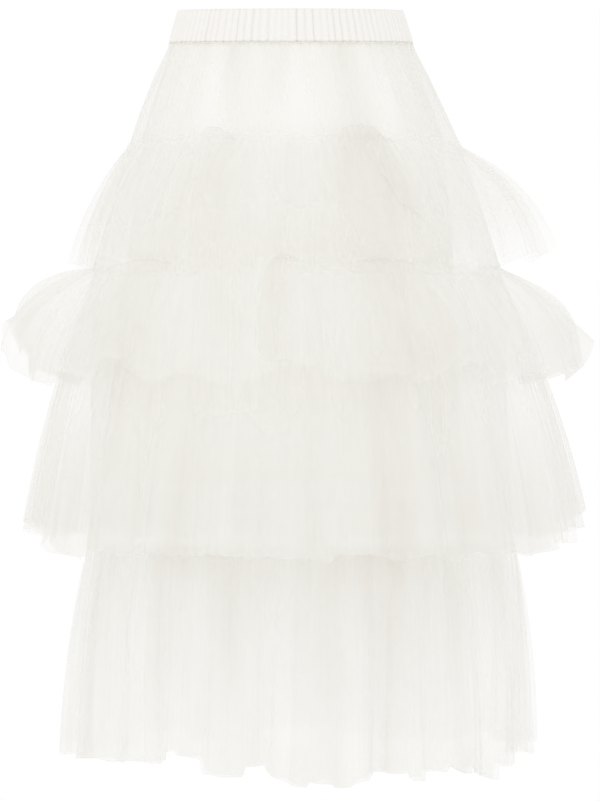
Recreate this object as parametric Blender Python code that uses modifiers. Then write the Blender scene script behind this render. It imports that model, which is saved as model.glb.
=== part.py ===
"""A gathered tulle skirt: elastic waistband, slip lining, base skirt, two short frills and two long flounces.

The skirt keeps the rounded, hanging form that it has when it is worn. Every piece is a ring of cloth round the
body: x runs across the body, -y is the front, and z = 0 is the middle of the waistband. Each wall is lofted
through rings of points, and each ring is worked out from the sizes below.
Directions round the body start at +x and turn towards the back: 90 is the back, 180 the left, 270 the front.
"""

from collections import namedtuple
from math import atan2, cos, pi

import bpy
import numpy as np

# ---------------------------------------------------------------- sizes, in metres and degrees

WALL = 0.0012              # cloth wall: the layers of tulle in one piece
SEAM_GAP = 0.0003          # pieces keep this far apart where they are sewn together
BAND_HEIGHT = 0.034        # elastic casing
BAND_WALL = 0.0032         # elastic between two layers of cloth
BAND_RIBS = 60             # gathers of the casing over the elastic, all round
FACETS_PER_RIB = 3
BAND_RIB_HEIGHT = 0.0013
FRONT_DIP = 0.10           # the waist line falls this much, for each metre towards the front
HEADING = 0.008            # height of the stitched strip at the top of a frill or flounce
BASE_GATHERS = 20
FACETS_PER_GATHER = 4
SLIP_FACETS = 56

# Sections of the base skirt's wall, inner face. left, right, front and back are distances from the middle.
# gather is the half height of its gathers there.
BaseSection = namedtuple("BaseSection", "z left right front back gather")
BASE_SECTIONS = (
    BaseSection(-0.0176, 0.1268, 0.1290, 0.0938, 0.0938, 0.0004),
    BaseSection(-0.0226, 0.1272, 0.1294, 0.0944, 0.0944, 0.0006),
    BaseSection(-0.0520, 0.1402, 0.1430, 0.1080, 0.1080, 0.0024),
    BaseSection(-0.0920, 0.1560, 0.1622, 0.1270, 0.1290, 0.0022),
    BaseSection(-0.1220, 0.1676, 0.1775, 0.1390, 0.1430, 0.0000),
    BaseSection(-0.1300, 0.1700, 0.1805, 0.1420, 0.1460, 0.0000),
    BaseSection(-0.2480, 0.2050, 0.2190, 0.1830, 0.1850, 0.0000),
    BaseSection(-0.2680, 0.2070, 0.2215, 0.1850, 0.1870, 0.0000),
    BaseSection(-0.5450, 0.2110, 0.2350, 0.1980, 0.1980, 0.0000),
)

# Sections of the slip lining's wall, inner face.
SlipSection = namedtuple("SlipSection", "z left right front back")
SLIP_SECTIONS = (
    SlipSection(-0.0174, 0.1246, 0.1268, 0.0916, 0.0916),
    SlipSection(-0.0224, 0.1246, 0.1268, 0.0916, 0.0916),
    SlipSection(-0.1200, 0.1560, 0.1600, 0.1270, 0.1310),
    SlipSection(-0.2500, 0.1690, 0.1680, 0.1370, 0.1430),
    SlipSection(-0.4780, 0.1950, 0.1730, 0.1480, 0.1520),
)

# How a frill or flounce leaves its seam, by direction round the body. The cloth runs down an arc whose slope
# below level goes from at_seam to at_hem, and drop is its cut length below the heading.
Fall = namedtuple("Fall", "direction at_seam at_hem drop")
# A single large fold: where it stands, half its width, how much flatter the cloth is there at the seam and at
# the hem, and how much longer it is.
Fold = namedtuple("Fold", "direction half_width lift_seam lift_hem longer")

UPPER_FALLS = (
    Fall(0, 24, 72, 0.146),
    Fall(45, 44, 80, 0.138),
    Fall(90, 44, 84, 0.140),
    Fall(135, 48, 80, 0.138),
    Fall(180, 52, 80, 0.136),
    Fall(225, 46, 80, 0.140),
    Fall(270, 42, 84, 0.140),
    Fall(315, 40, 82, 0.140),
)
UPPER_FOLDS = (
    Fold(250, 10, 16, -4, 0.010),
    Fold(290, 12, 22, 0, 0.018),
    Fold(96, 13, 18, 0, 0.010),
    Fold(128, 9, 14, 6, 0.000),
)
MIDDLE_FALLS = (
    Fall(0, 20, 72, 0.142),
    Fall(45, 42, 72, 0.138),
    Fall(90, 42, 76, 0.140),
    Fall(135, 44, 72, 0.138),
    Fall(180, 18, 84, 0.142),
    Fall(225, 44, 72, 0.138),
    Fall(270, 42, 76, 0.142),
    Fall(315, 42, 74, 0.140),
)
MIDDLE_FOLDS = (
    Fold(179, 9, 15, -2, 0.000),
    Fold(200, 8, -12, 4, 0.002),
    Fold(358, 8, 4, 0, 0.000),
    Fold(20, 8, -10, 6, 0.000),
    Fold(236, 12, 16, 4, 0.008),
    Fold(272, 10, 20, 4, 0.008),
    Fold(306, 11, 10, 4, 0.000),
    Fold(74, 11, 20, 4, 0.000),
    Fold(112, 10, 14, 6, 0.002),
)
LONG_FALLS = (
    Fall(0, 64, 78, 0.286),
    Fall(45, 69, 79, 0.286),
    Fall(90, 70, 81, 0.288),
    Fall(135, 70, 81, 0.286),
    Fall(180, 69, 81, 0.284),
    Fall(225, 69, 81, 0.286),
    Fall(270, 68, 80, 0.290),
    Fall(315, 68, 79, 0.288),
)
LONG_FOLDS = (
    Fold(182, 12, 0, 0, -0.012),
    Fold(0, 12, 0, 0, -0.014),
)
HEM_FALLS = (
    Fall(0, 81, 92, 0.212),
    Fall(45, 82, 89, 0.222),
    Fall(90, 81, 88, 0.230),
    Fall(135, 81, 88, 0.228),
    Fall(180, 77, 88, 0.224),
    Fall(225, 80, 87, 0.228),
    Fall(270, 81, 86, 0.234),
    Fall(315, 81, 88, 0.222),
)

# A gathered tier: the height of its heading's top edge, how many waves it has round its hem, how far a wave
# swings the cloth's slope either way, and how uneven the waves are. Its wall has steps rings below the
# heading, and facets points round each ring.
Tier = namedtuple("Tier", "name top falls folds waves swing uneven steps facets")
TIERS = (
    Tier("upper_frill", -0.1220, UPPER_FALLS, UPPER_FOLDS, 20, 6.0, 0.16, 4, 100),
    Tier("middle_frill", -0.2480, MIDDLE_FALLS, MIDDLE_FOLDS, 20, 6.0, 0.16, 4, 100),
    Tier("long_flounce", -0.2600, LONG_FALLS, LONG_FOLDS, 24, 2.4, 0.12, 5, 120),
    Tier("hem_flounce", -0.5370, HEM_FALLS, (), 24, 3.2, 0.12, 4, 120),
)

TULLE_IVORY = (0.86, 0.84, 0.78)
CASING_IVORY = (0.88, 0.85, 0.78)
SLIP_WHITE = (0.90, 0.89, 0.85)


# ---------------------------------------------------------------- shapes of the rings

def directions(facets):
    """The directions of a ring's points, in radians."""
    return np.arange(facets) * 2.0 * pi / facets


def outward(turn, across, along):
    """Unit vectors that point out of an ellipse of these half sizes."""
    x = np.cos(turn) / across
    y = np.sin(turn) / along
    length = np.hypot(x, y)
    return x / length, y / length


def oval(turn, section, out):
    """(x, y) round a section whose four sides lie at their own distances, moved out by out."""
    across = np.where(np.cos(turn) > 0, section.right, section.left)
    along = np.where(np.sin(turn) > 0, section.back, section.front)
    away_x, away_y = outward(turn, across, along)
    return across * np.cos(turn) + out * away_x, along * np.sin(turn) + out * away_y


def dipped(y, z):
    """z with the waist line's fall towards the front, which fades out by the upper frill's seam."""
    fade = np.clip((z - TIERS[0].top) / (BASE_SECTIONS[0].z - TIERS[0].top), 0.0, 1.0)
    return z + FRONT_DIP * fade * y


def ring(turn, section, out=0.0):
    """Points of one ring of a wall, as rows of x, y, z."""
    x, y = oval(turn, section, out)
    return np.column_stack([x, y, dipped(y, section.z)])


def base_at(z):
    """The base skirt's section at any height, on the straight wall between two of its sections."""
    depths = [-section.z for section in BASE_SECTIONS]
    sides = [np.interp(-z, depths, column) for column in list(zip(*BASE_SECTIONS))[1:]]
    return BaseSection(z, *sides)


def round_table(turn, falls, column):
    """A column of a table of falls, followed smoothly round the body: each step between rows is a cosine."""
    values = np.array([getattr(fall, column) for fall in falls])
    place = turn / (2.0 * pi / len(falls))
    low = np.floor(place).astype(int)
    share = 0.5 - 0.5 * np.cos(pi * (place - low))
    return values[low] * (1.0 - share) + values[(low + 1) % len(falls)] * share


def apart(turn, direction):
    """How far each direction lies from another one, in degrees, from -180 to 180."""
    return (np.degrees(turn) - direction + 180.0) % 360.0 - 180.0


def wave(turn, tier):
    """From -1 to 1, the waves of a gathered tier: a cosine whose pace and depth wander round the body."""
    wander = tier.uneven * (np.sin(3.0 * turn + tier.waves) + 0.6 * np.sin(7.0 * turn + 2.0))
    depth = 0.74 + 0.26 * np.sin(5.0 * turn + 0.3 * tier.waves)
    return depth * np.cos(tier.waves * (turn + wander / 5.0))


def slopes(turn, tier):
    """(slope at the seam, slope at the hem, drop) round a tier, in radians below level and in metres."""
    swing = tier.swing * wave(turn, tier)
    at_seam = round_table(turn, tier.falls, "at_seam") - swing
    at_hem = round_table(turn, tier.falls, "at_hem") - swing
    drop = round_table(turn, tier.falls, "drop")
    for fold in tier.folds:
        near = np.exp(-(apart(turn, fold.direction) / fold.half_width) ** 2)
        at_seam -= fold.lift_seam * near
        at_hem -= fold.lift_hem * near
        drop += fold.longer * near
    return np.radians(at_seam), np.radians(at_hem), drop


def hang(turn, tier, share):
    """(distance out, distance down) of the cloth at a share of its drop, along an arc of steady bend."""
    at_seam, at_hem, drop = slopes(turn, tier)
    bend = at_hem - at_seam
    here = at_seam + bend * share
    out = drop * (np.sin(here) - np.sin(at_seam)) / bend
    down = drop * (np.cos(at_seam) - np.cos(here)) / bend
    return out, down


def tier_rings(tier):
    """The rings of a gathered tier's inner face: a heading flat on the base skirt, then the falling cloth."""
    turn = directions(tier.facets)
    upper = base_at(tier.top)
    lower = base_at(tier.top - HEADING)
    lean = atan2(lower.front - upper.front, HEADING)
    clear = (WALL + SEAM_GAP) / cos(lean)
    seam_ring = ring(turn, lower, clear)
    away_x, away_y = outward(turn, (lower.left + lower.right) / 2.0, (lower.front + lower.back) / 2.0)
    rings = [ring(turn, upper, clear), seam_ring]
    for step in range(1, tier.steps + 1):
        out, down = hang(turn, tier, step / tier.steps)
        rings.append(seam_ring + np.column_stack([out * away_x, out * away_y, -down]))
    return rings


# ---------------------------------------------------------------- building

def material(name, colour, roughness):
    made = bpy.data.materials.new(name)
    made.use_nodes = True
    shader = made.node_tree.nodes["Principled BSDF"]
    shader.inputs["Base Color"].default_value = (*colour, 1.0)
    shader.inputs["Roughness"].default_value = roughness
    shader.inputs["Metallic"].default_value = 0.0
    made.diffuse_color = (*colour, 1.0)
    return made


def lofted(name, rings, collection, finish, closed=False):
    """An object whose quads join each ring of points to the next, and the last to the first if closed."""
    facets = len(rings[0])
    here = np.arange(facets)
    following = (here + 1) % facets
    rows = list(range(len(rings))) + [0] * closed
    quads = [np.column_stack([facets * a + here, facets * b + here, facets * b + following, facets * a + following])
             for a, b in zip(rows, rows[1:])]
    mesh = bpy.data.meshes.new(name)
    mesh.from_pydata(np.vstack(rings).tolist(), [], np.vstack(quads).tolist())
    mesh.materials.append(finish)
    mesh.shade_smooth()
    made = bpy.data.objects.new(name, mesh)
    collection.objects.link(made)
    return made


def thicken(made):
    """Gives an open wall the cloth's thickness, outwards from the face that was lofted."""
    solid = made.modifiers.new("Cloth thickness", "SOLIDIFY")
    solid.thickness = WALL
    solid.offset = 1.0


def build_waistband(collection, finish):
    """The elastic casing: a plain inner face, and gathers raised in its outer one."""
    turn = directions(BAND_RIBS * FACETS_PER_RIB)
    rib = BAND_RIB_HEIGHT * (0.5 - 0.5 * np.cos(BAND_RIBS * turn)) * (0.85 + 0.15 * np.sin(9.0 * turn))
    foot = SlipSection(-BAND_HEIGHT / 2.0, 0.1244, 0.1266, 0.0914, 0.0914)
    brim = SlipSection(BAND_HEIGHT / 2.0, 0.1150, 0.1162, 0.0850, 0.0850)
    # Up the inner face, over the brim and down the outer one: each ring's share of the way from foot to brim,
    # of the way through the wall, and of the ribs' height.
    profile = ((0.0, 0.0, 0.0), (1.0, 0.0, 0.0), (1.0, 0.6, 0.3), (0.88, 1.0, 0.9), (0.12, 1.0, 1.0), (0.0, 0.9, 0.6))
    rings = []
    for up, through, ribbed in profile:
        section = SlipSection(*(low + (high - low) * up for low, high in zip(foot, brim)))
        rings.append(ring(turn, section, through * BAND_WALL + ribbed * rib))
    lofted("waistband", rings, collection, finish, closed=True)


def build_base_skirt(collection, finish):
    """The tulle skirt that carries every tier: its gathered top shows between waistband and upper frill."""
    turn = directions(BASE_GATHERS * FACETS_PER_GATHER)
    gather = np.cos(BASE_GATHERS * turn + 0.5 * np.sin(3.0 * turn)) * (0.75 + 0.25 * np.sin(5.0 * turn))
    rings = [ring(turn, section, section.gather * gather) for section in BASE_SECTIONS]
    thicken(lofted("base_skirt", rings, collection, finish))


def build_lining(collection, finish):
    """The plain slip inside, hung from the waistband."""
    turn = directions(SLIP_FACETS)
    thicken(lofted("lining", [ring(turn, section) for section in SLIP_SECTIONS], collection, finish))


def build_tier(tier, collection, finish):
    """A frill or flounce, sewn on by its heading."""
    thicken(lofted(tier.name, tier_rings(tier), collection, finish))


def main():
    for old in list(bpy.data.objects):
        bpy.data.objects.remove(old, do_unlink=True)
    collection = bpy.data.collections.new("tulle_skirt")
    bpy.context.scene.collection.children.link(collection)
    tulle = material("tulle", TULLE_IVORY, 0.85)
    build_waistband(collection, material("casing", CASING_IVORY, 0.70))
    build_base_skirt(collection, tulle)
    build_lining(collection, material("slip", SLIP_WHITE, 0.60))
    for tier in TIERS:
        build_tier(tier, collection, tulle)


if __name__ == "__main__":
    main()
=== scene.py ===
"""Dresses a tiered tulle skirt around its fixed frame: casing, slip, base skirt, two frills, two flounces.

Every piece of cloth is a tube of points in an array of (rows, columns, 3): rows run down the cloth from its
seam to its hem, and columns run round the body. Directions round the body start at +x and turn towards the
back, so 90 is the back, 180 the left and 270 the front. Lengths are in metres, as the frame's are.
"""

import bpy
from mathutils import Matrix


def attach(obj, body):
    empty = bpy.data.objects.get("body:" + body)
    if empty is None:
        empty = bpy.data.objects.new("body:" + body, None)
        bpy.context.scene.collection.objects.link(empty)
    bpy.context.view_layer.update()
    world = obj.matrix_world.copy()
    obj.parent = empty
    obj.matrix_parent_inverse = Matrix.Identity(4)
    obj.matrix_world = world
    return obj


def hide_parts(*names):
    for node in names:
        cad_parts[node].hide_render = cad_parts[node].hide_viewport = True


bl_info = {
    "name": "Tulle Skirt",
    "version": (1, 0, 0),
    "blender": (4, 5, 0),
    "location": "View3D > Sidebar > Skirt",
    "description": "Builds a tiered tulle skirt with its finishes and a plain studio around a fixed frame",
    "category": "Add Mesh",
}

from collections import namedtuple
from math import pi, radians

import bpy
import numpy as np
from bpy.props import FloatProperty, FloatVectorProperty, IntProperty, PointerProperty
from mathutils import Vector

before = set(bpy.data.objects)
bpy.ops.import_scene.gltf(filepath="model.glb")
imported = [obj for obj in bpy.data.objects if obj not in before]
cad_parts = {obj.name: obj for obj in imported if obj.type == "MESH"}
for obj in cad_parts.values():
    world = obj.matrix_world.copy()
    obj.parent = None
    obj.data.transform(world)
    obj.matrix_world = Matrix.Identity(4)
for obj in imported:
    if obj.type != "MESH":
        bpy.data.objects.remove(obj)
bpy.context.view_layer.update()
BODY = "root"
TURN = 2.0 * pi

# ---------------------------------------------------------------- the cut of the skirt, in metres and degrees

WALL = 0.0012              # the solids' wall; a sheet lies in the middle of it
SEAM_GAP = 0.0003
FRONT_DIP = 0.10           # the waist line falls this much, for each metre towards the front
HEADING = 0.008            # height of the stitched strip at the top of a frill or flounce
CLOSER = 0.0004            # how much closer a layer lies for each degree that it hangs steeper
WAVER = 0.0008             # how far a hem's cut wavers
FINE_GATHER = 0.00015      # half heights of the base skirt's fine gathers and of its folds in the yoke
YOKE_FOLD = 0.0006
BAND_THICK = 0.0030
CORD_OUT = 0.0026          # from the band's inner face out to the cord's middle
CORD_BELOW = 0.0006        # from the band's foot down to the cord's middle
CASING_CUT = 1.15          # length of the casing's strip before it was gathered
CORD_CUT = 0.74            # length of the thread in the cord
SLIP_CUT = (1.05, 0.47)    # widths and lengths of the cuts
BASE_CUT = (2.0, 0.55)
PETAL_SPARE = 1.1          # cloth in a petal beside its form, for its small folds


def table(kind, *rows):
    """Rows of plain values as records of one kind."""
    return tuple(kind(*row) for row in rows)


# A section of a tube: left, right, front and back are its distances from the middle, and gather is the half
# height of its large folds.
Section = namedtuple("Section", "z left right front back gather")
BAND_BRIM = Section(0.0170, 0.1150, 0.1162, 0.0850, 0.0850, 0.0)
BAND_FOOT = Section(-0.0170, 0.1244, 0.1266, 0.0914, 0.0914, 0.0)
BASE_SECTIONS = table(
    Section,
    (-0.0176, 0.1268, 0.1290, 0.0938, 0.0938, 0.0004),
    (-0.0226, 0.1272, 0.1294, 0.0944, 0.0944, 0.0006),
    (-0.0520, 0.1402, 0.1430, 0.1080, 0.1080, 0.0024),
    (-0.0920, 0.1560, 0.1622, 0.1270, 0.1290, 0.0022),
    (-0.1220, 0.1676, 0.1775, 0.1390, 0.1430, 0.0000),
    (-0.1300, 0.1700, 0.1805, 0.1420, 0.1460, 0.0000),
    (-0.2480, 0.2050, 0.2190, 0.1830, 0.1850, 0.0000),
    (-0.2680, 0.2070, 0.2215, 0.1850, 0.1870, 0.0000),
    (-0.5450, 0.2110, 0.2350, 0.1980, 0.1980, 0.0000),
)
WAIST = BASE_SECTIONS[0].z
SLIP_SECTIONS = table(
    Section,
    (-0.0174, 0.1246, 0.1268, 0.0916, 0.0916, 0.0000),
    (-0.0224, 0.1246, 0.1268, 0.0916, 0.0916, 0.0000),
    (-0.1200, 0.1560, 0.1600, 0.1270, 0.1310, 0.0010),
    (-0.2500, 0.1690, 0.1680, 0.1370, 0.1430, 0.0030),
    (-0.4780, 0.1950, 0.1730, 0.1480, 0.1520, 0.0060),
)

# Where the base skirt billows out between tighter gathers: its direction at the waist and at the upper
# frill's seam, half its width there, how far it stands out, and how much sheerer it is, which also paints it
# lighter.
Billow = namedtuple("Billow", "at_waist at_seam half_width out sheerer")
BILLOWS = table(
    Billow,
    (233, 242, 8, 0.005, 0.55),
    (273, 271, 9, 0.004, 0.50),
    (316, 309, 6, 0.004, 0.60),
    (52, 48, 8, 0.005, 0.50),
    (98, 104, 9, 0.005, 0.55),
    (141, 136, 7, 0.004, 0.50),
)

# How a frill or flounce falls from its seam, every 45 degrees from direction 0. The cloth runs down an arc
# whose slope below level goes from at_seam to at_hem, drop is its cut length below the heading, and crowd and
# crowd_hem are how closely its threads lie, beside its tier's usual, over most of the way and at the hem.
Fall = namedtuple("Fall", "at_seam at_hem drop crowd crowd_hem")
# A large fold: where it stands, half its width, how much flatter the cloth is there at the seam and at the
# hem, how much longer it is, and how much flatter still it is halfway down, so that it curls late.
Fold = namedtuple("Fold", "direction half_width lift_seam lift_hem longer late", defaults=(0,))
# A flap of a torn hem: the direction that it begins at, and how many millimetres longer than its tier it is
# there and where the next one begins.
Flap = namedtuple("Flap", "begins longer ends")

UPPER_FALLS = table(
    Fall,
    (24, 72, 0.146, 0.72, 0.90),
    (44, 80, 0.138, 1.00, 0.60),
    (44, 84, 0.140, 1.10, 0.40),
    (48, 80, 0.138, 1.00, 0.60),
    (52, 80, 0.136, 0.85, 1.00),
    (46, 80, 0.140, 1.05, 0.60),
    (42, 84, 0.140, 1.15, 0.35),
    (40, 82, 0.140, 1.05, 0.55),
)
UPPER_FOLDS = table(
    Fold,
    (250, 10, 16, -4, 0.010),
    (290, 12, 22, 0, 0.018),
    (96, 13, 18, 0, 0.010),
    (128, 9, 14, 6, 0.000),
)
MIDDLE_FALLS = table(
    Fall,
    (20, 72, 0.142, 2.20, 2.40),
    (42, 72, 0.138, 1.00, 0.50),
    (42, 76, 0.140, 1.10, 0.35),
    (44, 72, 0.138, 1.00, 0.50),
    (18, 84, 0.142, 2.60, 3.20),
    (44, 72, 0.138, 1.00, 0.50),
    (42, 76, 0.142, 1.10, 0.30),
    (42, 74, 0.140, 1.10, 0.45),
)
MIDDLE_FOLDS = table(
    Fold,
    (179, 9, 15, -2, 0.000),
    (200, 8, -12, 4, 0.002),
    (358, 8, 4, 0, 0.000),
    (20, 8, -10, 6, 0.000),
    (236, 12, 16, 4, 0.008),
    (272, 10, 20, 4, 0.008),
    (306, 11, 10, 4, 0.000),
    (74, 11, 20, 4, 0.000),
    (112, 10, 14, 6, 0.002),
)
LONG_FALLS = table(
    Fall,
    (64, 78, 0.286, 0.70, 0.50),
    (69, 79, 0.286, 0.80, 0.40),
    (70, 81, 0.288, 0.80, 0.30),
    (70, 81, 0.286, 0.80, 0.40),
    (69, 81, 0.284, 0.68, 0.50),
    (69, 81, 0.286, 1.00, 0.60),
    (68, 80, 0.290, 1.20, 0.60),
    (68, 79, 0.288, 1.10, 0.75),
)
LONG_FOLDS = table(
    Fold,
    (182, 12, 0, 0, -0.012),
    (0, 12, 0, 0, -0.014),
)
HEM_FALLS = table(
    Fall,
    (81, 92, 0.212, 0.35, 0.50),
    (82, 89, 0.222, 0.65, 0.50),
    (81, 88, 0.230, 0.70, 0.50),
    (81, 88, 0.228, 0.65, 0.50),
    (77, 88, 0.224, 0.25, 0.45),
    (80, 87, 0.228, 1.50, 1.70),
    (81, 86, 0.234, 1.60, 2.60),
    (81, 88, 0.222, 1.10, 1.80),
)

LONG_FLAPS = table(
    Flap,
    (14, 0, 2), (46, -4, 2), (72, 4, 0), (104, -4, 2), (131, 0, -4), (158, -10, -6),
    (193, -10, -9), (205, -7, 3), (212, 6, 8), (220, -1, 3), (237, 2, 0), (252, 0, 3),
    (279, -2, 4), (293, 3, 7), (307, 1, 5), (324, 6, 3), (332, -6, 2), (343, -12, -4),
    (354, -16, -8),
)
HEM_FLAPS = table(
    Flap,
    (8, 4, 0), (27, -8, -4), (41, 4, 6), (66, -4, -2), (80, -14, -10), (99, 4, 0),
    (121, -12, -10), (136, 0, 4), (163, -8, -12), (180, 0, -12), (205, -10, -16), (236, -30, -30),
    (242, -25, -25), (247, -10, -11), (259, -21, -22), (264, -15, -2), (274, -7, -3), (280, 0, 1),
    (284, -1, -4), (288, -10, -6), (298, 3, 4), (303, -4, 0), (309, -6, 6), (315, -2, 16),
    (327, 2, 4), (334, -6, 4), (350, 0, -2),
)

# A bunch: where the cloth is drawn together, by direction and share of the way down its tier, and how much
# more its threads crowd and how much deeper its painted shade is. Where both are below nothing, the cloth is
# spread out and painted lighter.
Bunch = namedtuple("Bunch", "direction half_width share half_share crowd depth")
UPPER_BUNCHES = table(
    Bunch,
    (252, 4, 0.55, 0.4, 0.2, 0.35),
    (260, 4.5, 0.6, 0.5, -0.25, -0.3),
    (271, 4.5, 0.55, 0.4, 0.15, 0.3),
    (279, 3.5, 0.4, 0.4, -0.25, -0.3),
    (289, 7, 0.5, 0.3, 0.15, 0.3),
    (270, 30, 0.97, 0.25, -0.85, 0),
    (90, 30, 0.95, 0.22, -0.5, 0),
    (100, 5, 0.55, 0.4, 0.2, 0.35),
    (88, 4, 0.5, 0.4, -0.25, -0.3),
)
MIDDLE_BUNCHES = table(
    Bunch,
    (229, 7, 0.15, 0.35, -0.45, -0.5),
    (253, 9, 0.25, 0.7, -0.75, -0.6),
    (259, 4.5, 0.45, 0.5, -0.5, -0.6),
    (278, 4.5, 0.5, 0.5, -0.35, -0.4),
    (301, 8, 0.85, 0.22, 0.25, 0.6),
    (232, 8, 0.7, 0.3, 0.1, 0.2),
    (110, 9, 0.75, 0.2, 0.2, 0.4),
    (84, 5, 0.45, 0.5, -0.4, -0.5),
)
LONG_BUNCHES = table(
    Bunch,
    (253, 9, 0.08, 0.3, -0.6, -0.3),
    (264, 13, 0.34, 0.25, -0.45, -0.3),
    (292, 16, 0.9, 0.15, 0.35, 0.2),
    (180, 25, 0.2, 0.3, 0.4, 0),
    (180, 25, 0.85, 0.3, -0.35, -0.2),
    (360, 22, 0.2, 0.3, 0.4, 0),
    (360, 22, 0.85, 0.3, -0.35, -0.2),
    (290, 9, 0.36, 0.22, 0.3, 0.4),
    (305, 4, 0.5, 0.2, -0.45, -0.5),
    (80, 7, 0.45, 0.25, 0.2, 0.3),
)
HEM_BUNCHES = table(
    Bunch,
    (240, 8, 0.02, 0.1, 0.4, 0.5),
    (295, 10, 0.02, 0.1, 0.4, 0.5),
    (294, 16, 0.4, 0.45, 0.4, 0.3),
    (254, 3, 0.3, 0.4, 0.2, 0.4),
    (84, 9, 0.02, 0.1, 0.4, 0.6),
)

# A gathered tier: its node, the height of its heading's top edge, its falls, folds, flaps and bunches, its
# large waves, how far they swing the cloth's slope either way and how uneven they are, its pleats and their
# seed, which both of its layers take so that they nest, the half height of its gathers at the seam, the width
# that its cloth was cut to, and, at even shares of the way down, how closely its threads lie and how deep its
# painted shade is.
Tier = namedtuple("Tier", "node top falls folds flaps bunches waves swing uneven pleats pleat_seed "
                          "gather_height cut_width crowds depths")
UPPER = Tier("upper_frill", -0.1220, UPPER_FALLS, UPPER_FOLDS, (), UPPER_BUNCHES, 20, 6.0, 0.16, 38, 120,
             0.0004, 1.85, (1.4, 1.25, 1.15, 0.45), (0.30, 0.35, 0.35, 0.10))
MIDDLE = Tier("middle_frill", -0.2480, MIDDLE_FALLS, MIDDLE_FOLDS, (), MIDDLE_BUNCHES, 20, 6.0, 0.16, 38, 220,
              0.0004, 2.0, (0.35, 0.80, 1.05, 1.25), (0.00, 0.10, 0.35, 0.45))
LONG = Tier("long_flounce", -0.2600, LONG_FALLS, LONG_FOLDS, LONG_FLAPS, LONG_BUNCHES, 24, 2.4, 0.12, 40, 320,
            0.0003, 2.15, (0.95, 0.90, 1.0, 2.1, 3.3), (0.35, 0.30, 0.35, 0.75, 0.95))
HEM = Tier("hem_flounce", -0.5370, HEM_FALLS, (), HEM_FLAPS, HEM_BUNCHES, 24, 3.2, 0.12, 40, 420,
           0.0003, 2.1, (1.1, 1.75, 1.85, 1.7, 1.85, 2.3), (0.60, 0.60, 0.50, 0.40, 0.25, 0.20))

# One layer of tulle in a tier: the points down it, how much steeper it hangs than the tier and how much
# longer it is cut, the half height of its pleats at the hem, its gathers, the seed of its unevenness and its
# own folds.
Layer = namedtuple("Layer", "name tier rows steeper longer pleat_height gathers seed folds", defaults=((),))
UPPER_LAYERS = (
    Layer("upper_frill_inner", UPPER, 26, 4.0, 0.000, 0.0030, 110, 100,
          (Fold(240, 6, 10, 0, 0.008), Fold(326, 7, 12, 4, 0.004), Fold(70, 8, 12, 4, 0.004))),
    Layer("upper_frill_outer", UPPER, 32, 0.0, 0.000, 0.0032, 120, 120),
)
MIDDLE_LAYERS = (
    Layer("middle_frill_inner", MIDDLE, 26, 2.0, 0.000, 0.0026, 110, 200,
          (Fold(178, 3.5, -30, 60, -0.002), Fold(178, 5, 0, 0, -0.031), Fold(167, 7, 0, 4, -0.007, 12),
           Fold(189, 6, 0, 8, -0.002, 12), Fold(357, 4, -14, 30, -0.018), Fold(8, 5, -6, -6, 0.002))),
    Layer("middle_frill_outer", MIDDLE, 32, 0.0, 0.000, 0.0028, 120, 220,
          (Fold(182, 12, 1, -56, 0.001, 26), Fold(355, 7, -10, -40, -0.018, 30))),
)
LONG_LAYERS = (
    Layer("long_flounce_inner", LONG, 50, 1.6, -0.003, 0.0026, 110, 300),
    Layer("long_flounce_outer", LONG, 52, 0.0, 0.000, 0.0028, 120, 320),
)
HEM_LAYERS = (
    Layer("hem_flounce_inner", HEM, 44, 1.6, -0.002, 0.0036, 110, 400),
    Layer("hem_flounce_outer", HEM, 46, 0.0, 0.000, 0.0038, 120, 420),
)

# A petal: cloth of a frill that is doubled over its outer layer. sides are rows of (share of the way down the
# layer, left direction, right direction), hem is the share that it ends at, evenly from left to right, lift
# is how far it stands in front, rise how far it puffs up over its seam, crowd and depth how closely its
# threads lie and how deep its painted shade is, and soft the share of its width over which each side thins
# out.
Petal = namedtuple("Petal", "name sides hem lift rise crowd depth soft")
UPPER_PETALS = (
    Petal("upper_petal_front", ((0.0, 281, 300), (0.3, 276, 302), (0.6, 275, 304), (1.0, 275, 304)),
          (0.30, 0.44, 0.66, 0.98, 0.99, 0.99, 0.99, 0.99, 0.97), 0.006, 0.017, 1.7, 1.5, (0.30, 0.06)),
    Petal("upper_petal_corner", ((0.0, 290, 301), (0.3, 290, 304), (1.0, 291, 305)),
          (0.46, 0.50, 0.56, 0.64, 0.74, 0.88), 0.011, 0.010, 1.2, 1.5, (0.40, 0.06)),
    Petal("upper_puff_left", ((0.0, 238, 252), (0.5, 242, 253), (1.0, 245, 253)),
          (0.80, 0.98, 0.99, 0.98, 0.90), 0.005, 0.016, 1.0, 1.2, (0.15, 0.10)),
    Petal("upper_petal_back", ((0.0, 74, 94), (0.3, 69, 98), (1.0, 66, 100)),
          (0.50, 0.72, 0.98, 0.99, 0.98, 0.60), 0.006, 0.017, 1.4, 1.3, (0.06, 0.20)),
    Petal("upper_puff_back", ((0.0, 109, 124), (0.5, 108, 125), (1.0, 110, 122)),
          (0.50, 0.80, 0.90, 0.70), 0.005, 0.014, 0.9, 1.1, (0.20, 0.10)),
)
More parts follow.
